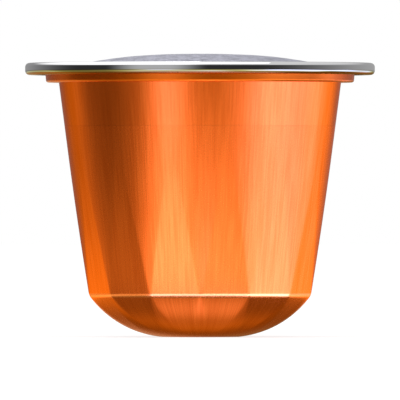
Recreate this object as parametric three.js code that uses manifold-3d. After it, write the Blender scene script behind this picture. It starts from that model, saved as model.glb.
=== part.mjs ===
// A sealed coffee pod, standing on its small end: a deep-drawn aluminium cup with a rolled
// rim, a sealing ring in the corner under its flange, and a foil lid over its mouth. The
// cup's wall narrows to a ridge, and a rounded end closes it below that. Flat facets run
// round the lower wall, and on over the rounded end.
//
// Millimetres, +Z up. The origin is the centre of the flat that the pod stands on.

import * as THREE from "three";
import { mergeVertices } from "three/addons/utils/BufferGeometryUtils.js";
import Module from "manifold-3d";

const wasm = await Module();
wasm.setup();

// Rounded end, from the flat up to the ridge
const FLAT_RADIUS = 4.2;
const END_HEIGHT = 4.4;
const END_CORNER_ARC = 11.6; // profile radius where two facets meet
const END_FACET_ARC = 10.76; // profile radius down the middle of a facet

// Wall, from the ridge up to the flange
const RIDGE_RADIUS = 12;
const RIDGE_FILLET = 0.5;
const MOUTH_RADIUS = 15.1;
const WALL_HEIGHT = 23.8;

// Facets
const FACETS = 14;
const FACET_HEIGHT = 15.9; // from the ridge up to a facet's tip
const FACET_FOOT_GAP = 0.1; // from a facet's lower end in to the flat
const CORNER_LAND = 0.25; // round strip left between two facets at the ridge

// Sealing ring
const RING_WIDTH = 1.3; // across its top, from the mouth outwards
const RING_HEIGHT = 1.3;
const RING_FILLET = 0.25;
const RING_DRAFT = 0.1; // how far its side leans in towards the bottom
const RING_CLEARANCE = 0.02; // from the ring's bore to the wall

// Flange and rolled rim
const SHEET = 0.1;
const FLANGE_MARGIN = 0.415; // flat of the flange that is left outside the ring
const ROLL_WIDTH = 1.4;
const ROLL_HEIGHT = 1.27;
const ROLL_STAND = 0.67; // height of the roll's top above the flange's top
const ROLL_CORNER = 0.45; // outside radius of the roll's two outer corners
const ROLL_GAP = 0.25; // from the sheet's cut edge to the inner side of the roll

// Foil lid
const FOIL = 0.04;
const DOME_INSET = 0.3; // from the mouth's edge in to where the dome starts
const DOME_RISE = 1.6;
const LID_CLEARANCE = 0.05; // from the lid's edge to where the sheet bends up

// Fineness of the round surfaces
const STEPS_PER_FACET = 6;
const AROUND = FACETS * STEPS_PER_FACET;
const END_STEPS = 4;
const ROLL_STEPS = 2;
const FILLET_STEPS = 2;
const DOME_STEPS = 3;

// Heights that follow from the sizes above
const FLANGE_UNDERSIDE = END_HEIGHT + WALL_HEIGHT;
const FLANGE_TOP = FLANGE_UNDERSIDE + SHEET;
const ROLL_TOP = FLANGE_TOP + ROLL_STAND;
const ROLL_BOTTOM = ROLL_TOP - ROLL_HEIGHT;

// Radii that follow, from the ring out to the rim. The flange's flat ends where its sheet
// starts to bend up into the roll, and each bend follows the middle of the sheet.
const RING_RADIUS = MOUTH_RADIUS + RING_WIDTH;
const FLAT_END = RING_RADIUS + FLANGE_MARGIN;
const STEP_BEND = ROLL_STAND / 2;
const ROLL_BEND = ROLL_CORNER - SHEET / 2;
const ROLL_INSIDE = FLAT_END + STEP_BEND - SHEET / 2;
const RIM_RADIUS = ROLL_INSIDE + ROLL_WIDTH;
const DOME_RADIUS = MOUTH_RADIUS - DOME_INSET;

// The radius of the wall's cone at a height.
const wallSlope = (MOUTH_RADIUS - RIDGE_RADIUS) / WALL_HEIGHT;
const wallRadius = (z) => RIDGE_RADIUS + wallSlope * (z - END_HEIGHT);

const QUARTER = Math.PI / 2;

// Adds the arc of a circle round (x, y) to a path, and names what it turns between.
function addArc(path, x, y, radius, from, to) {
  path.absarc(x, y, radius, from, to, to < from);
}

// The profile of the cup's outside, from the wall's top down over the ridge, which is
// rounded, and along an arc of the stated radius to the foot.
function outsideProfile(top, ridge, foot, arcRadius) {
  const chord = new THREE.Vector2().subVectors(ridge, foot);
  const middle = new THREE.Vector2().addVectors(ridge, foot).multiplyScalar(0.5);
  const inwards = new THREE.Vector2(-chord.y, chord.x).normalize();
  const depth = Math.sqrt(arcRadius ** 2 - chord.lengthSq() / 4);
  const centre = middle.addScaledVector(inwards, depth);
  const ridgeAngle = Math.atan2(ridge.y - centre.y, ridge.x - centre.x);
  const footAngle = Math.atan2(foot.y - centre.y, foot.x - centre.x);

  const wall = new THREE.Vector2().subVectors(top, ridge).normalize();
  const turn = ridgeAngle + QUARTER - wall.angle();
  const cutBack = RIDGE_FILLET * Math.tan(Math.abs(turn) / 2);
  const wallEnd = ridge.clone().addScaledVector(wall, cutBack);
  const arcAngle = ridgeAngle - cutBack / arcRadius;
  const arcStart = new THREE.Vector2(Math.cos(arcAngle), Math.sin(arcAngle))
    .multiplyScalar(arcRadius)
    .add(centre);

  const path = new THREE.Path();
  path.moveTo(top.x, top.y);
  path.lineTo(wallEnd.x, wallEnd.y);
  path.quadraticCurveTo(ridge.x, ridge.y, arcStart.x, arcStart.y);
  addArc(path, centre.x, centre.y, arcRadius, arcAngle, footAngle);
  return path.getPoints(END_STEPS);
}

// A solid of revolution round Z, from a profile of (radius, height) points.
function turned(profile) {
  return new THREE.LatheGeometry(profile, AROUND).rotateX(QUARTER);
}

// A closed geometry as a manifold-3d solid, and back again.
function solidOf(geometry) {
  const bare = geometry.clone();
  bare.deleteAttribute("normal");
  bare.deleteAttribute("uv");
  const merged = mergeVertices(bare);
  return new wasm.Manifold(
    new wasm.Mesh({
      numProp: 3,
      vertProperties: new Float32Array(merged.attributes.position.array),
      triVerts: new Uint32Array(merged.index.array),
    }),
  );
}

function geometryOf(solid) {
  const mesh = solid.getMesh();
  const geometry = new THREE.BufferGeometry();
  geometry.setAttribute("position", new THREE.BufferAttribute(mesh.vertProperties, 3));
  geometry.setIndex(new THREE.BufferAttribute(mesh.triVerts, 1));
  return geometry.toNonIndexed();
}

// The flange steps up into the roll, which goes over its top, down its outer side and
// back in along its underside, to the sheet's cut edge. This is one side of that sheet,
// at a distance from its middle: above and outside it, or below and inside it where the
// distance is negative.
function flangeAndRollSide(distance) {
  const flangeMiddle = FLANGE_TOP - SHEET / 2;
  const rollMiddle = ROLL_BOTTOM + SHEET / 2;
  const stepMiddle = flangeMiddle + STEP_BEND;
  const stepOuter = FLAT_END + 2 * STEP_BEND;
  const cornerCentre = RIM_RADIUS - ROLL_CORNER;
  const path = new THREE.Path();
  addArc(path, FLAT_END, stepMiddle, STEP_BEND - distance, -QUARTER, 0);
  addArc(path, stepOuter, stepMiddle, STEP_BEND + distance, 2 * QUARTER, QUARTER);
  addArc(path, cornerCentre, ROLL_TOP - ROLL_CORNER, ROLL_BEND + distance, QUARTER, 0);
  addArc(path, cornerCentre, ROLL_BOTTOM + ROLL_CORNER, ROLL_BEND + distance, 0, -QUARTER);
  path.lineTo(ROLL_INSIDE + ROLL_GAP, rollMiddle - distance);
  return path.getPoints(ROLL_STEPS);
}

// The tool that cuts one facet, as the profile down the facet's middle drawn across the
// whole facet. It lies outside that profile, on the +X side of the cup.
function facetCutter() {
  const halfAngle = Math.PI / FACETS - CORNER_LAND / 2 / RIDGE_RADIUS;
  const ridge = new THREE.Vector2(RIDGE_RADIUS * Math.cos(halfAngle), END_HEIGHT);
  const tipHeight = END_HEIGHT + FACET_HEIGHT;
  const tip = new THREE.Vector2(wallRadius(tipHeight), tipHeight);
  const above = tip.clone().lerp(ridge, -0.05); // past the tip, where it is off the wall
  const foot = new THREE.Vector2(FLAT_RADIUS + FACET_FOOT_GAP, 0);
  const profile = outsideProfile(above, ridge, foot, END_FACET_ARC);

  const outside = 2 * RIM_RADIUS;
  const below = -END_HEIGHT;
  const outline = new THREE.Shape([
    ...profile,
    new THREE.Vector2(foot.x, below),
    new THREE.Vector2(outside, below),
    new THREE.Vector2(outside, above.y),
  ]);
  const across = MOUTH_RADIUS; // more than any facet is wide
  const bar = new THREE.ExtrudeGeometry(outline, { depth: across, bevelEnabled: false });
  return solidOf(bar.translate(0, 0, -across / 2).rotateX(QUARTER));
}

// Cup: one sheet of aluminium, drawn, faceted and rolled at the rim. It is sealed, so the
// cup and what fills it are one solid, level with the flange's top at the mouth.
function cupGeometry() {
  const mouth = new THREE.Vector2(MOUTH_RADIUS, FLANGE_UNDERSIDE);
  const ridge = new THREE.Vector2(RIDGE_RADIUS, END_HEIGHT);
  const foot = new THREE.Vector2(FLAT_RADIUS, 0);
  const outside = outsideProfile(mouth, ridge, foot, END_CORNER_ARC).reverse();
  const underside = flangeAndRollSide(-SHEET / 2);
  const topSide = flangeAndRollSide(SHEET / 2).reverse();
  const axisBottom = new THREE.Vector2(0, 0);
  const axisTop = new THREE.Vector2(0, FLANGE_TOP);
  let cup = solidOf(turned([axisBottom, ...outside, ...underside, ...topSide, axisTop]));

  const cutter = facetCutter();
  for (let i = 0; i < FACETS; i++) {
    cup = cup.subtract(cutter.rotate([0, 0, (360 / FACETS) * (i + 0.5) - 90]));
  }
  return geometryOf(cup);
}

// Sealing ring: it fills the corner between the wall and the flange's underside.
function ringGeometry() {
  const bottom = FLANGE_UNDERSIDE - RING_HEIGHT;
  const bore = (z) => wallRadius(z) + RING_CLEARANCE;
  const outer = RING_RADIUS - RING_DRAFT - RING_FILLET;
  const path = new THREE.Path();
  path.moveTo(bore(bottom), bottom);
  path.lineTo(outer, bottom);
  addArc(path, outer, bottom + RING_FILLET, RING_FILLET, -QUARTER, 0);
  path.lineTo(RING_RADIUS, FLANGE_UNDERSIDE);
  path.lineTo(bore(FLANGE_UNDERSIDE), FLANGE_UNDERSIDE);
  path.lineTo(bore(bottom), bottom);
  return turned(path.getPoints(FILLET_STEPS));
}

// One side of the foil lid, at a height above the flange: domed by the gas in the pod, and
// flat where it is sealed to the flange.
function foilSide(height) {
  const underArc = (DOME_RADIUS ** 2 + DOME_RISE ** 2) / (2 * DOME_RISE);
  const centre = FLANGE_TOP + DOME_RISE - underArc;
  const flat = FLANGE_TOP + height;
  const arc = underArc + height;
  const domeAngle = Math.acos((flat - centre) / arc);
  const path = new THREE.Path();
  addArc(path, 0, centre, arc, QUARTER, QUARTER - domeAngle);
  path.lineTo(FLAT_END - LID_CLEARANCE, flat);
  return path.getPoints(DOME_STEPS);
}

function lidGeometry() {
  return turned([...foilSide(0), ...foilSide(FOIL).reverse()]);
}

// Materials, with the colours of the pod's surfaces
const lacquer = new THREE.MeshStandardMaterial({
  color: 0xe8640c,
  roughness: 0.32,
  metalness: 1,
});
const ringRubber = new THREE.MeshStandardMaterial({
  color: 0xd9590a,
  roughness: 0.3,
  metalness: 0.2,
});
const bareFoil = new THREE.MeshStandardMaterial({
  color: 0xc3c3cd,
  roughness: 0.38,
  metalness: 1,
});

const pod = new THREE.Group();

function addPiece(name, geometry, material) {
  const piece = new THREE.Mesh(geometry, material);
  piece.name = name;
  pod.add(piece);
}

addPiece("cup", cupGeometry(), lacquer);
addPiece("sealing_ring", ringGeometry(), ringRubber);
addPiece("foil_lid", lidGeometry(), bareFoil);

export default pod;
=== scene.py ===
"""A sealed coffee pod: a faceted aluminium cup, a sealing ring and a domed foil lid.

Lengths are metres. Z points up along the pod's axis, and the camera looks along +Y.
"""

from math import acos, atan2, cos, floor, hypot, pi, radians, sin, sqrt

import bmesh
import bpy
import numpy as np
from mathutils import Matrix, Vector, noise


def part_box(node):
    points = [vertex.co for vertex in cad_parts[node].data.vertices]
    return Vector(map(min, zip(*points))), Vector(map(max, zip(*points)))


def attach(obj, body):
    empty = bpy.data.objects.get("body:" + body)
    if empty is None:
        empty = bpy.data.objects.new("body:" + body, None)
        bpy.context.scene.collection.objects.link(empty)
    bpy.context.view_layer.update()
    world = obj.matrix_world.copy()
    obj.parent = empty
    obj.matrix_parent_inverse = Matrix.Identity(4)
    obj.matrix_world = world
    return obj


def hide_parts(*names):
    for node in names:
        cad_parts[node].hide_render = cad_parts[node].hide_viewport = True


MM = 0.001

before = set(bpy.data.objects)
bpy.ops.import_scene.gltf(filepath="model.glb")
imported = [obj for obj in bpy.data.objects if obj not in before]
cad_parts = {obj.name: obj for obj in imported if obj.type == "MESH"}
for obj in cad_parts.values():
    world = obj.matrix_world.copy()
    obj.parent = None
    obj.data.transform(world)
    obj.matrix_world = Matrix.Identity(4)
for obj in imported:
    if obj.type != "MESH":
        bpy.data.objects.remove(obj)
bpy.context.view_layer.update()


# Cup
# One sheet of aluminium, deep-drawn into a tapered cup with a rounded end. Its wall is
# pressed into flat facets, its rim is rolled, and clear orange lacquer covers its outside.
# Ground coffee fills it, so it is a solid up to its flange.

FACETS = 14
HALF_FACET = pi / FACETS
FLAT_RADIUS = 4.2 * MM
RIDGE_RADIUS = 12.0 * MM
RIDGE_HEIGHT = 4.4 * MM
RIDGE_SOFTNESS = 0.17 * MM
RIDGE_REACH = 1.0 * MM  # above this the rounded end takes no part in the wall
MOUTH_RADIUS = 15.1 * MM
END_CURVE = 11.6 * MM
FACET_RIDGE_RADIUS = 11.726 * MM
FACET_FOOT_RADIUS = 4.3 * MM
FACET_CURVE = 10.76 * MM
FACET_TIP_HEIGHT = 20.3 * MM
FACET_EDGE = 0.1 * MM
SHEET = 0.1 * MM
ROLL_WIDTH = 1.4 * MM
ROLL_HEIGHT = 1.27 * MM
ROLL_STAND = 0.67 * MM
ROLL_CORNER = 0.45 * MM
ROLL_GAP = 0.25 * MM
BEND_STEPS, CORNER_STEPS = 8, 10

_, cup_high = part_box("cup")
RIM_RADIUS = cup_high[0]
ROLL_TOP = cup_high[2]
FLANGE_TOP = ROLL_TOP - ROLL_STAND
FLANGE_UNDERSIDE = FLANGE_TOP - SHEET
ROLL_BEND = ROLL_TOP - ROLL_HEIGHT + ROLL_CORNER


def arc(centre, radius, start, end, steps):
    """The points of an arc as (radius, height), between two angles in degrees."""
    turns = [radians(start + (end - start) * i / steps) for i in range(steps + 1)]
    return [(centre[0] + radius * cos(t), centre[1] + radius * sin(t)) for t in turns]


def between(start, end, steps):
    """Evenly spaced numbers from start to end, both included."""
    return [start + (end - start) * i / steps for i in range(steps + 1)]


def arc_centre(foot, ridge, curve):
    """The centre of the arc of the rounded end, which passes through two points."""
    chord = Vector(ridge) - Vector(foot)
    inwards = Vector((-chord.y, chord.x)).normalized()
    depth = sqrt(curve**2 - chord.length_squared / 4)
    return (Vector(foot) + Vector(ridge)) / 2 + inwards * depth


def soft_min(a, b, width):
    """The lesser of two numbers, rounded where they are closer than width."""
    near = max(width - abs(a - b), 0) / width
    return min(a, b) - near * near * width / 4


def wall_radius(height):
    """The radius of the tapered wall."""
    rise = (height - RIDGE_HEIGHT) / (FLANGE_UNDERSIDE - RIDGE_HEIGHT)
    return RIDGE_RADIUS + (MOUTH_RADIUS - RIDGE_RADIUS) * rise


def over_ridge(wall, height, foot, ridge, curve):
    """A wall's radius, or that of the rounded end below it, rounded over the ridge."""
    if height > RIDGE_HEIGHT + RIDGE_REACH:
        return wall
    centre = arc_centre((foot, 0), (ridge, RIDGE_HEIGHT), curve)
    end = centre.x + sqrt(curve**2 - (height - centre.y) ** 2)
    return soft_min(wall, end, RIDGE_SOFTNESS)


def turned_radius(height):
    """The radius that the cup is drawn to, before its facets are pressed."""
    return over_ridge(wall_radius(height), height, FLAT_RADIUS, RIDGE_RADIUS, END_CURVE)


def facet_distance(height):
    """The distance from the axis to the middle of a facet, whose edges run straight."""
    share = (FACET_TIP_HEIGHT - height) / (FACET_TIP_HEIGHT - RIDGE_HEIGHT)
    widest = acos(FACET_RIDGE_RADIUS / RIDGE_RADIUS)
    wall = wall_radius(height) * cos(widest * share)
    return over_ridge(wall, height, FACET_FOOT_RADIUS, FACET_RIDGE_RADIUS, FACET_CURVE)


def roll_side(out):
    """One side of the sheet from the flange to its cut edge, out from its middle."""
    low = FLANGE_TOP - SHEET / 2
    bend = ROLL_STAND / 2
    inside = RIM_RADIUS - ROLL_WIDTH
    corner = RIM_RADIUS - ROLL_CORNER
    bottom = ROLL_TOP - ROLL_HEIGHT
    round_over = ROLL_CORNER - SHEET / 2 + out
    return [
        *arc((inside + SHEET / 2 - bend, low + bend), bend - out, -90, 0, BEND_STEPS),
        *arc((inside + SHEET / 2 + bend, low + bend), bend + out, 180, 90, BEND_STEPS),
        *arc((corner, ROLL_TOP - ROLL_CORNER), round_over, 90, 0, CORNER_STEPS),
        *arc((corner, bottom + ROLL_CORNER), round_over, 0, -90, CORNER_STEPS),
        (inside + ROLL_GAP, bottom + SHEET / 2 - out),
    ]


MERGE_DISTANCE = 0.001 * MM


def spun(profile, columns):
    """A bmesh of a profile of (radius, height) points that is spun round Z."""
    mesh = bmesh.new()
    verts = [mesh.verts.new((radius, 0, height)) for radius, height in profile]
    edges = [mesh.edges.new(pair) for pair in zip(verts, verts[1:])]
    if profile[0][0] > 0:
        edges.append(mesh.edges.new((verts[-1], verts[0])))
    bmesh.ops.spin(
        mesh,
        geom=verts + edges,
        axis=(0, 0, 1),
        cent=(0, 0, 0),
        angle=2 * pi,
        steps=columns,
        use_merge=True,
    )
    bmesh.ops.remove_doubles(mesh, verts=mesh.verts, dist=MERGE_DISTANCE)
    bmesh.ops.recalc_face_normals(mesh, faces=mesh.faces)
    return mesh


def piece(name, mesh, material, *, node, crease=35):
    """Makes an object of a bmesh, which belongs to the pod and stands for a CAD node."""
    data = bpy.data.meshes.new(name)
    mesh.to_mesh(data)
    mesh.free()
    data.shade_smooth()
    data.set_sharp_from_angle(angle=radians(crease))
    data.materials.append(material)
    made = bpy.data.objects.new(name, data)
    bpy.context.scene.collection.objects.link(made)
    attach(made, "root")
    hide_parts(node)
    return made


# Columns of the mesh in half a facet: over its flat, over its rounded edge, and over the
# strip that is left between two facets
FLAT_COLUMNS, EDGE_COLUMNS, STRIP_COLUMNS = 6, 4, 3
HALF_COLUMNS = FLAT_COLUMNS + EDGE_COLUMNS + STRIP_COLUMNS
LEAST_EDGE = 0.25 * HALF_FACET
MOST_ROUNDING = 0.6  # of the strip between two facets
PLAIN_HEIGHT = 26 * MM  # from here up the columns are evenly spaced


def press_facets(mesh):
    """Presses the facets, with the columns of the mesh drawn along their edges."""
    for vert in mesh.verts:
        radius = hypot(vert.co.x, vert.co.y)
        height = vert.co.z
        if radius < FLAT_RADIUS / 2 or height > PLAIN_HEIGHT:
            continue
        turn = atan2(vert.co.y, vert.co.x) + pi / 2
        middle = (floor(turn / (2 * HALF_FACET)) + 0.5) * 2 * HALF_FACET
        offset = turn - middle
        distance = facet_distance(height) if height < FACET_TIP_HEIGHT else radius
        edge = acos(min(distance / radius, 1))
        soft = min(FACET_EDGE / radius, (HALF_FACET - edge) * MOST_ROUNDING)
        drawn_edge = max(edge, LEAST_EDGE)
        even = max(height - FACET_TIP_HEIGHT, 0) / (PLAIN_HEIGHT - FACET_TIP_HEIGHT)
        share = abs(offset) / HALF_FACET
        drawn = np.interp(
            share * HALF_COLUMNS,
            (0, FLAT_COLUMNS, FLAT_COLUMNS + EDGE_COLUMNS, HALF_COLUMNS),
            (0, drawn_edge - soft, drawn_edge + soft, HALF_FACET),
        )
        local = float(drawn * (1 - even) + share * HALF_FACET * even)
        if height < FACET_TIP_HEIGHT and edge > 0:
            pressed = distance / cos(local)
            radius = soft_min(radius, pressed, 2 * FACET_EDGE * sin(edge))
        angle = middle + (local if offset > 0 else -local) - pi / 2
        vert.co.x = radius * cos(angle)
        vert.co.y = radius * sin(angle)


class Socket:
    """An output of a shader node, which can be used in sums."""

    def __init__(self, finish, output):
        self.finish = finish
        self.output = output

    def __getitem__(self, name):
        return Socket(self.finish, self.output.node.outputs[name])

    def __add__(self, other):
        return self.finish.sum("ADD", self, other)

    def __sub__(self, other):
        return self.finish.sum("SUBTRACT", self, other)

    def __mul__(self, other):
        return self.finish.sum("MULTIPLY", self, other)

    def __truediv__(self, other):
        return self.finish.sum("DIVIDE", self, other)

    def __pow__(self, other):
        return self.finish.sum("POWER", self, other)

    def __rsub__(self, other):
        return self.finish.sum("SUBTRACT", other, self)

    __radd__ = __add__
    __rmul__ = __mul__


class Finish:
    """The node tree of a material or of the studio, built from expressions."""

    def __init__(self, owner):
        owner.use_nodes = True
        self.tree = owner.node_tree
        self.tree.nodes.clear()

    def node(self, kind, settings=None, inputs=None):
        """Adds a node, with its settings first and then the values of its sockets."""
        made = self.tree.nodes.new("ShaderNode" + kind)
        for name, value in (settings or {}).items():
            setattr(made, name, value)
        for name, value in (inputs or {}).items():
            if isinstance(value, Socket):
                self.tree.links.new(value.output, made.inputs[name])
            else:
                made.inputs[name].default_value = value
        return Socket(self, made.outputs[0]) if made.outputs else made

    def sum(self, operation, *values):
        """The result of a Math node."""
        return self.node("Math", {"operation": operation}, dict(enumerate(values)))

    def step(self, value, start, end):
        """0 below start and 1 above end, eased between them."""
        settings = {"interpolation_type": "SMOOTHSTEP"}
        inputs = {"Value": value, "From Min": start, "From Max": end}
        return self.node("MapRange", settings, inputs)

    def past(self, value, place, fade):
        """0 before a place and 1 past it, eased over fade on both sides."""
        return self.step(value, place - fade, place + fade)

    def blend(self, factor, first, second):
        """Mixes two colours."""
        settings = {"data_type": "RGBA"}
        return self.node("Mix", settings, {0: factor, 6: first, 7: second})[2]

    def place(self):
        """The X, Y and Z of a point of the piece."""
        point = self.node("TexCoord")["Object"]
        split = self.node("SeparateXYZ", {}, {0: point})
        return split["X"], split["Y"], split["Z"]

    def noise(self, vector, size, detail=2, roughness=0.5):
        """Noise from 0 to 1, whose features are about the stated size."""
        inputs = {"Vector": vector, "Scale": 1 / size, "Detail": detail, "Roughness": roughness}
        return self.node("TexNoise", {}, inputs)

    def bump(self, height, depth):
        """A normal that is tilted by a relief of the stated depth."""
        inputs = {"Height": height, "Distance": depth, "Strength": 1.0}
        return self.node("Bump", {}, inputs)

    def metal(self, **sockets):
        """A metal shader, with sockets given by their names."""
        inputs = {name.replace("_", " "): value for name, value in sockets.items()}
        return self.node("BsdfPrincipled", {}, {"Metallic": 1.0, **inputs})

    def show(self, shader):
        """Ends a material in its shader."""
        self.node("OutputMaterial", {}, {"Surface": shader})


def within(finish, value, middle, half, fade):
    """1 within half of the middle and 0 outside, eased over fade on both sides."""
    away = finish.sum("ABSOLUTE", value - middle)
    return 1 - finish.past(away, half, fade)


LACQUER = (0.95, 0.16, 0.03, 1)
LACQUER_DEEP = (0.83, 0.127, 0.021, 1)
LACQUER_RIDGE_HIGHLIGHT = (0.98, 0.25, 0.08, 1)  # painted highlight: a paler band along the ridge
LACQUER_UNDER_ROLL_SHADE = (0.2, 0.065, 0.02, 1)  # painted shade under the roll, where the lacquer ends
LACQUER_GRAZED = (0.9, 0.55, 0.4, 1)  # its tint where it is seen at a low angle
BARE_METAL = (0.78, 0.78, 0.79, 1)
ROLL_BEND_SHADE_METAL = (0.38, 0.32, 0.2, 1)  # painted shade, warm-tinted, on the lower bend of the roll
STREAK_WIDTH = 0.15 * MM
BAND_WIDTH = 1.1 * MM
GRAIN_SIZE = 0.14 * MM
STREAK_SQUEEZE = 0.03  # what heights are multiplied by, so that the streaks run long
BAND_SQUEEZE = 0.06
STREAK_SHARE = 0.6  # of the shade of the lacquer; the rest is bands
SHADE_RANGE = (0.34, 0.66)
DRAW_LINE = 22.3 * MM  # a faint line that drawing leaves round the wall
DRAWN_ABOVE_LINE = 0.55  # how strong the streaks are over that line
LACQUER_TOP = 27.93 * MM  # the lacquer ends under the roll, in a narrow band of painted shade
LACQUER_REACH = 16.9 * MM
SHARP_FADE = 0.02 * MM
SOFT_FADE = 0.05 * MM
RIDGE_HIGHLIGHT_HALF, RIDGE_HIGHLIGHT_FADE = 0.17 * MM, 0.12 * MM  # the painted highlight along the ridge
# Where the painted shade on the roll's lower bend starts, and how far it fades
ROLL_SHADE_TOP, ROLL_SHADE_FADE = ROLL_BEND + 0.01 * MM, 0.07 * MM
STREAK_RELIEF, GRAIN_RELIEF = 0.8, 0.3
RELIEF_DEPTH = 0.006 * MM
LACQUER_ROUGHNESS = 0.19
GRAIN_ROUGHNESS = 0.08
DRAWN_ROUGHNESS = 0.03
POLISHED_ROUGHNESS = 0.03


def lacquered_aluminium():
    """Drawn aluminium under clear orange lacquer, and bare over the rolled rim."""
    material = bpy.data.materials.new("lacquered aluminium")
    finish = Finish(material)
    x, y, z = finish.place()
    radius = (x * x + y * y) ** 0.5
    around_x = x / radius * RIDGE_RADIUS
    around_y = y / radius * RIDGE_RADIUS

    def drawn_out(squeeze):
        """Points round the wall, at which a pattern runs long up and down."""
        inputs = {"X": around_x, "Y": around_y, "Z": z * squeeze}
        return finish.node("CombineXYZ", {}, inputs)

    streaks = finish.noise(drawn_out(STREAK_SQUEEZE), STREAK_WIDTH, detail=1)
    bands = finish.noise(drawn_out(BAND_SQUEEZE), BAND_WIDTH)
    grain = finish.noise(drawn_out(1), GRAIN_SIZE)

    rolled = finish.step(radius, LACQUER_REACH, LACQUER_REACH + SOFT_FADE)
    bare = rolled * finish.past(z, LACQUER_TOP, SHARP_FADE)
    over_flange = finish.past(z, FLANGE_TOP - SHEET / 2, SHARP_FADE)
    bare = finish.sum("MAXIMUM", bare, over_flange)
    below_line = 1 - finish.past(z, DRAW_LINE, SOFT_FADE)
    drawn = DRAWN_ABOVE_LINE + (1 - DRAWN_ABOVE_LINE) * below_line

    shade = finish.step(streaks * STREAK_SHARE + bands * (1 - STREAK_SHARE), *SHADE_RANGE)
    colour = finish.blend(shade, LACQUER_DEEP, LACQUER)
    # Painted highlight: the lacquer is paler in a narrow band along the ridge.
    ridge_highlight = within(finish, z, RIDGE_HEIGHT, RIDGE_HIGHLIGHT_HALF, RIDGE_HIGHLIGHT_FADE)
    colour = finish.blend(ridge_highlight, colour, LACQUER_RIDGE_HIGHLIGHT)
    # Painted shade: out under the roll the lacquer is darkened to brown.
    colour = finish.blend(rolled, colour, LACQUER_UNDER_ROLL_SHADE)
    relief = streaks * drawn * (1 - bare) * STREAK_RELIEF + grain * GRAIN_RELIEF
    lacquered = finish.metal(
        Base_Color=colour,
        Roughness=LACQUER_ROUGHNESS + GRAIN_ROUGHNESS * grain + DRAWN_ROUGHNESS * below_line,
        Specular_Tint=LACQUER_GRAZED,
        Normal=finish.bump(relief, RELIEF_DEPTH),
    )
    # Painted shade darkens the bare metal on the roll's lower bend.
    roll_shade = 1 - finish.past(z, ROLL_SHADE_TOP, ROLL_SHADE_FADE)
    polished = finish.metal(
        Base_Color=finish.blend(roll_shade, BARE_METAL, ROLL_BEND_SHADE_METAL),
        Roughness=POLISHED_ROUGHNESS * (1 + grain),
    )
    finish.show(finish.node("MixShader", {}, {0: bare, 1: lacquered, 2: polished}))
    return material


end_centre = arc_centre((FLAT_RADIUS, 0), (RIDGE_RADIUS, RIDGE_HEIGHT), END_CURVE)
end_start = atan2(-end_centre.y, FLAT_RADIUS - end_centre.x)
end_stop = atan2(RIDGE_HEIGHT - end_centre.y, RIDGE_RADIUS - end_centre.x)
RIDGE_BAND = 0.3 * MM  # the rows of the mesh are closer together within this of the ridge
END_ROWS, RIDGE_ROWS, WALL_ROWS = 26, 14, 76
FLAT_ROWS = (0, 0.6, 0.97, 1)  # shares of the radius of the flat

end_heights = [end_centre.y + END_CURVE * sin(t) for t in between(end_start, end_stop, END_ROWS)]
end_heights = [h for h in end_heights if h < RIDGE_HEIGHT - RIDGE_BAND]
ridge_heights = between(RIDGE_HEIGHT - RIDGE_BAND, RIDGE_HEIGHT + RIDGE_BAND, RIDGE_ROWS)
wall_heights = between(RIDGE_HEIGHT + RIDGE_BAND, FLANGE_UNDERSIDE, WALL_ROWS)[1:]
heights = end_heights[1:] + ridge_heights + wall_heights

cup_profile = [
    *[(FLAT_RADIUS * share, 0) for share in FLAT_ROWS],
    *[(turned_radius(height), height) for height in heights],
    *roll_side(-SHEET / 2),
    *reversed(roll_side(SHEET / 2)),
    (0, FLANGE_TOP),
]
cup_mesh = spun(cup_profile, 2 * FACETS * HALF_COLUMNS)
press_facets(cup_mesh)
piece(
    "faceted_cup",
    cup_mesh,
    lacquered_aluminium(),
    node="cup",
)


# Sealing ring
# A ring of orange silicone in the corner between the wall and the flange. It is moulded
# smooth, and its pigment matches the metal of the cup.

RING_FILLET = 0.25 * MM
RING_DRAFT = 0.1 * MM
RING_CLEARANCE = 0.02 * MM
RING_PIGMENT = (0.88, 0.15, 0.006, 1)
RING_PIGMENT_DEEP = (0.76, 0.12, 0.004, 1)
RING_SHEEN = 0.65  # how metallic the pigment looks
PIGMENT_CLOUDS = 1.5 * MM
PIGMENT_SPECKS = 0.12 * MM
SPECK_DEPTH = 0.001 * MM
RING_SPECULAR = 0.2
RING_ROUGHNESS, RING_CLOUD_ROUGHNESS = 0.2, 0.08
RING_COLUMNS = 280

ring_low, ring_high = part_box("sealing_ring")
RING_RADIUS = ring_high[0]
RING_BOTTOM = ring_low[2]
RING_TOP = ring_high[2]


def pigmented_silicone():
    """Smooth silicone with a metallic orange pigment."""
    material = bpy.data.materials.new("pigmented silicone")
    finish = Finish(material)
    point = finish.node("TexCoord")["Object"]
    clouds = finish.noise(point, PIGMENT_CLOUDS, detail=3)
    specks = finish.noise(point, PIGMENT_SPECKS, detail=1)
    silicone = finish.metal(
        Metallic=RING_SHEEN,
        Specular_IOR_Level=RING_SPECULAR,
        Specular_Tint=LACQUER_GRAZED,
        Base_Color=finish.blend(clouds, RING_PIGMENT_DEEP, RING_PIGMENT),
        Roughness=RING_ROUGHNESS + RING_CLOUD_ROUGHNESS * clouds,
        Normal=finish.bump(specks, SPECK_DEPTH),
    )
    finish.show(silicone)
    return material


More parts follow.
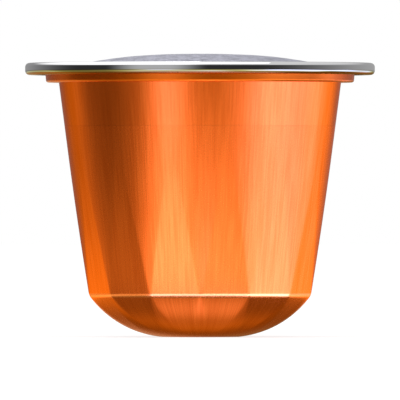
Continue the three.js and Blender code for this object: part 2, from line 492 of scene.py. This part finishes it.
bore_bottom = turned_radius(RING_BOTTOM) + RING_CLEARANCE
fillet_centre = RING_RADIUS - RING_DRAFT - RING_FILLET
ring_profile = [
    *[(radius, RING_BOTTOM) for radius in between(bore_bottom, fillet_centre, 4)[:-1]],
    *arc((fillet_centre, RING_BOTTOM + RING_FILLET), RING_FILLET, -90, 0, CORNER_STEPS),
    (RING_RADIUS - RING_DRAFT / 2, (RING_BOTTOM + RING_FILLET + RING_TOP) / 2),
    (RING_RADIUS, RING_TOP),
    (MOUTH_RADIUS + RING_CLEARANCE, RING_TOP),
]
piece(
    "silicone_ring",
    spun(ring_profile, RING_COLUMNS),
    pigmented_silicone(),
    node="sealing_ring",
)


# Foil lid
# Thin aluminium foil, heat-sealed to the flange and domed over the mouth by the gas from
# the coffee. The dome is a little uneven, as foil is that was flat before it swelled.

FOIL = 0.04 * MM
DOME_RADIUS = 14.8 * MM
DOME_FULLNESS = 2.5  # 2 would be a parabola
DENT_SIZE = 2.2 * MM
DENT_DEPTH = 0.02 * MM
DENT_FLOOR = 0.6  # sinks the dents, so that none stands proud of the dome
FINE_DENTS = 2.3  # how much finer the second layer of dents is
PUCKERS = 46  # small folds round the foot of the dome
PUCKER_DEPTH = 0.012 * MM
PUCKER_DRIFT = 0.5  # how fast their spacing drifts, against the size of the dents
DENT_FADE, PUCKER_START = 8, 14  # how steeply dents end and folds begin at the foot
DOME_STEPS, SEAL_STEPS = 56, 10
FOIL_COLUMNS = 224
FOIL_CLOUDS = 0.9 * MM
FOIL_SPECKS = 0.18 * MM
CLOUD_SHARE = 0.7  # of the mottle; the rest is specks
MOTTLE_RANGE = (0.36, 0.6)
FOIL_RELIEF = 0.02 * MM
CLOUD_RELIEF, SPECK_RELIEF = 0.8, 0.2
FOIL_ROUGHNESS, SPECK_ROUGHNESS = 0.34, 0.12
FOIL_COLOUR = (0.5, 0.5, 0.6, 1)
FOIL_DARK = (0.25, 0.25, 0.31, 1)

_, lid_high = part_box("foil_lid")
LID_RADIUS = lid_high[0]
DOME_RISE = lid_high[2] - FOIL - FLANGE_TOP


def foil_side(height):
    """One side of the foil, at a height over the flange: the dome, and then the seal."""
    low = FLANGE_TOP + height
    dome = [
        (radius, low + DOME_RISE * (1 - (radius / DOME_RADIUS) ** DOME_FULLNESS))
        for radius in between(0, DOME_RADIUS, DOME_STEPS)
    ]
    seal = [(radius, low) for radius in between(DOME_RADIUS, LID_RADIUS, SEAL_STEPS)[1:]]
    return dome + seal


def dent(mesh):
    """Makes the dome a little uneven, by the same amount on both sides of the foil."""
    for vert in mesh.verts:
        radius = hypot(vert.co.x, vert.co.y)
        if radius >= DOME_RADIUS:
            continue
        inside = 1 - (radius / DOME_RADIUS) ** DENT_FADE
        foot = (radius / DOME_RADIUS) ** PUCKER_START
        flat = Vector((vert.co.x, vert.co.y, 0)) / DENT_SIZE
        uneven = noise.noise(flat) + noise.noise(flat * FINE_DENTS) / 2 - DENT_FLOOR
        drift = 2 * noise.noise(flat * PUCKER_DRIFT)
        fold = sin(PUCKERS * atan2(vert.co.y, vert.co.x) + drift)
        vert.co.z += inside * (DENT_DEPTH * uneven + foot * PUCKER_DEPTH * fold)


def sealed_foil():
    """Satin foil, mottled where its rolled grain and the dents scatter the light."""
    material = bpy.data.materials.new("sealed foil")
    finish = Finish(material)
    point = finish.node("TexCoord")["Object"]
    clouds = finish.noise(point, FOIL_CLOUDS, detail=4, roughness=0.6)
    specks = finish.noise(point, FOIL_SPECKS)
    mottle = finish.step(clouds * CLOUD_SHARE + specks * (1 - CLOUD_SHARE), *MOTTLE_RANGE)
    relief = clouds * CLOUD_RELIEF + specks * SPECK_RELIEF
    foil = finish.metal(
        Base_Color=finish.blend(mottle, FOIL_DARK, FOIL_COLOUR),
        Roughness=FOIL_ROUGHNESS + SPECK_ROUGHNESS * specks,
        Normal=finish.bump(relief, FOIL_RELIEF),
    )
    finish.show(foil)
    return material


foil_mesh = spun([*foil_side(0), *reversed(foil_side(FOIL))], FOIL_COLUMNS)
dent(foil_mesh)
piece("domed_foil", foil_mesh, sealed_foil(), node="foil_lid")


# Studio
# A white floor, and a studio whose pale walls, soft boxes and dark screens the metal
# mirrors. The camera sees only white behind the pod.

FLOOR_SIZE = 6.0
FLOOR_GREY = (0.25, 0.25, 0.25, 1)
FLOOR_FILL = 0.8  # what the floor needs over its own light to look white
WHITE = (1, 1, 1, 1)
DEGREES = 180 / pi


def plain_floor():
    """A matt floor that is white to the camera and keeps the pod's shadow."""
    material = bpy.data.materials.new("white floor")
    finish = Finish(material)
    seen = finish.node("LightPath")["Is Camera Ray"]
    matt = finish.node("BsdfDiffuse", {}, {"Color": FLOOR_GREY})
    glow = finish.node("Emission", {}, {"Color": WHITE, "Strength": seen * FLOOR_FILL})
    both = finish.node("AddShader", {}, {0: matt, 1: glow})
    finish.show(both)
    return material


def azimuth_of(finish, x, y):
    """The azimuth of a direction in degrees, with 0 towards the camera and + to the right."""
    return finish.sum("ARCTAN2", x, 0 - y) * DEGREES


# Green and blue against red in the light off the table, and how they rise with its level
LEAST_GREEN, GREEN_RISE, MOST_GREEN = 0.95, 0.15, 1.26
LEAST_BLUE, BLUE_RISE, MOST_BLUE = 0.35, 0.6, 2.7


def table_light(finish, level):
    """Light off the table: warm from the pod's own colour where dim, and cool where bright."""
    green = finish.sum("MINIMUM", LEAST_GREEN + level * GREEN_RISE, MOST_GREEN)
    blue = finish.sum("MINIMUM", LEAST_BLUE + level * level * BLUE_RISE, MOST_BLUE)
    return finish.node("CombineColor", {}, {"Red": 1.0, "Green": green, "Blue": blue})


# Heights in degrees between which one part of the studio turns into the next
TABLE_START = (-26, -18)
HORIZON_START = (-10, -7)
SKY_START = (14, 24)
BRIGHT_SKY = (12, 38)
SIDE_RISE = 4.5  # how much higher the horizon starts at the two sides, past the pod

# Azimuths in degrees between which each side of the studio starts or ends
FAR_LEFT = (-126, -104)
LEFT = (-15, 10)
FAR_RIGHT = (92, 116)
BEHIND = (130, 165)

# A level of light, and its changes with azimuth as (from, to, change)
TABLE_LEVEL = 0.39
TABLE_CHANGES = (
    (-52, -30, 1.25),
    (-24, 0, -1.08),
    (12, 40, 0.6),
    (38, 58, 1.45),
    (98, 138, -1.2),
    (148, 168, -1.1),
)
TABLE_FAR_LEFT = 0.3  # what is added at the far left
TABLE_GAIN = 1.08
HORIZON_LEVEL = 0.31
HORIZON_CHANGES = ((-165, -85, -0.28), (35, 150, 0.36))
SKY_LEVEL, SKY_CHANGE, LEFT_SKY_CHANGE = 0.42, 0.35, 0.75

# Patches of light, or of shade below 0, as (strength, middle, half width, fade)
TABLE_SHADE = (-0.17, -82, 16, 16)
HORIZON_PATCH = (0.46, -30, 22, 14)

# Light from under the table's far part: its level, the light straight below, a patch by
# height behind the pod, and two by azimuth, each of which starts between two heights
UNDER_LEVEL = 0.25
BELOW, BELOW_CHANGE = (-88, -56), 1.1
BEHIND_PATCH = (0.36, -52, 10, 6)
LEFT_PATCH, LEFT_PATCH_START = (0.6, -136, 16, 8), (-48, -34)
RIGHT_PATCH, RIGHT_PATCH_START = (1.6, 66, 34, 10), (-46, -32)


def changing(finish, azimuth, level, changes):
    """A level of light with its changes, each between two azimuths."""
    for start, end, change in changes:
        level = level + change * finish.step(azimuth, start, end)
    return level


def patch(finish, value, strength, middle, half, fade):
    """A patch of light, or of shade where its strength is below 0."""
    return strength * within(finish, value, middle, half, fade)


def studio(world):
    """What the metal mirrors, by azimuth and height in degrees."""
    finish = Finish(world)
    way = finish.node("SeparateXYZ", {}, {0: finish.node("TexCoord")["Generated"]})
    azimuth = azimuth_of(finish, way["X"], way["Y"])
    height = finish.sum("ARCSINE", way["Z"]) * DEGREES
    far_left = 1 - finish.step(azimuth, *FAR_LEFT)
    far_right = finish.step(azimuth, *FAR_RIGHT)
    left = 1 - finish.step(azimuth, *LEFT)
    behind = finish.step(finish.sum("ABSOLUTE", azimuth), *BEHIND)

    table = changing(finish, azimuth, TABLE_LEVEL, TABLE_CHANGES)
    table = table + TABLE_FAR_LEFT * far_left + patch(finish, azimuth, *TABLE_SHADE)
    under = (
        UNDER_LEVEL
        + BELOW_CHANGE * (1 - finish.step(height, *BELOW))
        + patch(finish, height, *BEHIND_PATCH) * behind
        + patch(finish, azimuth, *LEFT_PATCH) * finish.step(height, *LEFT_PATCH_START)
        + patch(finish, azimuth, *RIGHT_PATCH) * finish.step(height, *RIGHT_PATCH_START)
    )
    horizon = changing(finish, azimuth, HORIZON_LEVEL, HORIZON_CHANGES)
    horizon = horizon + patch(finish, azimuth, *HORIZON_PATCH)
    sky_change = SKY_CHANGE + LEFT_SKY_CHANGE * left
    sky = SKY_LEVEL + sky_change * finish.step(height, *BRIGHT_SKY)

    in_table = finish.step(height, *TABLE_START)
    at_horizon = finish.step(height - SIDE_RISE * (far_left + far_right), *HORIZON_START)
    at_sky = finish.step(height, *SKY_START)
    low = under * (1 - in_table) + table * TABLE_GAIN * in_table
    low_light = finish.blend(at_horizon, table_light(finish, low), WHITE)
    level = low * (1 - at_horizon) + horizon * at_horizon
    level = level * (1 - at_sky) + sky * at_sky

    seen = finish.node("LightPath")["Is Camera Ray"]
    colour = finish.blend(seen, low_light, WHITE)
    strength = seen + (1 - seen) * level
    glow = finish.node("Background", {}, {"Color": colour, "Strength": strength})
    finish.node("OutputWorld", {}, {"Surface": glow})


GLOW_SIZE = 0.26
GLOW_HEIGHT = 0.1 * MM
GLOW_LEVEL = 0.6
GLOW_CHANGES = ((-108, -84, -0.3),)
LEFT_GLOW = (1.1, -17, 33, 14)
RIGHT_GLOW = (0.55, 30, 26, 12)
GLOW_START = (22 * MM, 30 * MM)  # distances from the pod's axis
GLOW_END = (34 * MM, 122 * MM)
RING_OF_LIGHT = (18.6 * MM, 2.4 * MM, 0.9 * MM)  # its middle, half width and fade
RING_OF_LIGHT_LEVEL = 0.8
RING_OF_LIGHT_PATCH = (2.8, 20, 58, 14)


def table_glow():
    """Light off the table close to the pod, which adds to the studio's."""
    material = bpy.data.materials.new("table glow")
    finish = Finish(material)
    x, y, _ = finish.place()
    distance = (x * x + y * y) ** 0.5
    azimuth = azimuth_of(finish, x, y)
    around = changing(finish, azimuth, GLOW_LEVEL, GLOW_CHANGES)
    around = around + patch(finish, azimuth, *LEFT_GLOW) + patch(finish, azimuth, *RIGHT_GLOW)
    near = finish.step(distance, *GLOW_START) * (1 - finish.step(distance, *GLOW_END))
    ring_light = RING_OF_LIGHT_LEVEL + patch(finish, azimuth, *RING_OF_LIGHT_PATCH)
    level = around * near + ring_light * within(finish, distance, *RING_OF_LIGHT)
    colour = table_light(finish, level)
    glow = finish.node("Emission", {}, {"Color": colour, "Strength": level})
    clear = finish.node("BsdfTransparent")
    finish.show(finish.node("AddShader", {}, {0: glow, 1: clear}))
    return material


def level_square(name, size, height, material):
    """A level square round the pod, which belongs to the studio."""
    mesh = bmesh.new()
    bmesh.ops.create_grid(mesh, x_segments=1, y_segments=1, size=size / 2)
    bmesh.ops.translate(mesh, verts=mesh.verts, vec=(0, 0, height))
    data = bpy.data.meshes.new(name)
    mesh.to_mesh(data)
    mesh.free()
    data.materials.append(material)
    made = bpy.data.objects.new(name, data)
    bpy.context.scene.collection.objects.link(made)
    return made


floor_square = level_square("floor", FLOOR_SIZE, 0, plain_floor())
floor_square.visible_glossy = False
glow = level_square("table_glow", GLOW_SIZE, GLOW_HEIGHT, table_glow())
glow.visible_camera = False
glow.visible_diffuse = False
glow.visible_shadow = False

world = bpy.data.worlds.new("studio")
bpy.context.scene.world = world
studio(world)

LAMP_SIZE = 0.5
LAMP_POWER = 2.0
LAMP_PLACE = (0.1, -0.1, 0.7)

lamp = bpy.data.lights.new("overhead soft box", "AREA")
lamp.shape = "DISK"
lamp.size = LAMP_SIZE
lamp.energy = LAMP_POWER
lamp_object = bpy.data.objects.new("overhead soft box", lamp)
lamp_object.location = LAMP_PLACE
lamp_object.visible_camera = False
bpy.context.scene.collection.objects.link(lamp_object)


# Camera
# It stands level with the middle of the pod, far off behind a long lens, as the
# photograph was taken.

SENSOR = 36.0
FRAME_WIDTH = 42.32 * MM  # what the picture spans at the pod
FRAME_CENTRE = 14.47 * MM
CAMERA_DISTANCE = 1.5

camera = bpy.data.cameras.new("camera")
camera.sensor_width = SENSOR
camera.lens = SENSOR * CAMERA_DISTANCE / FRAME_WIDTH
camera_object = bpy.data.objects.new("camera", camera)
camera_object.location = (0, -CAMERA_DISTANCE, FRAME_CENTRE)
camera_object.rotation_euler = (pi / 2, 0, 0)
bpy.context.scene.collection.objects.link(camera_object)
bpy.context.scene.camera = camera_object
bpy.context.scene.view_settings.view_transform = "Standard"
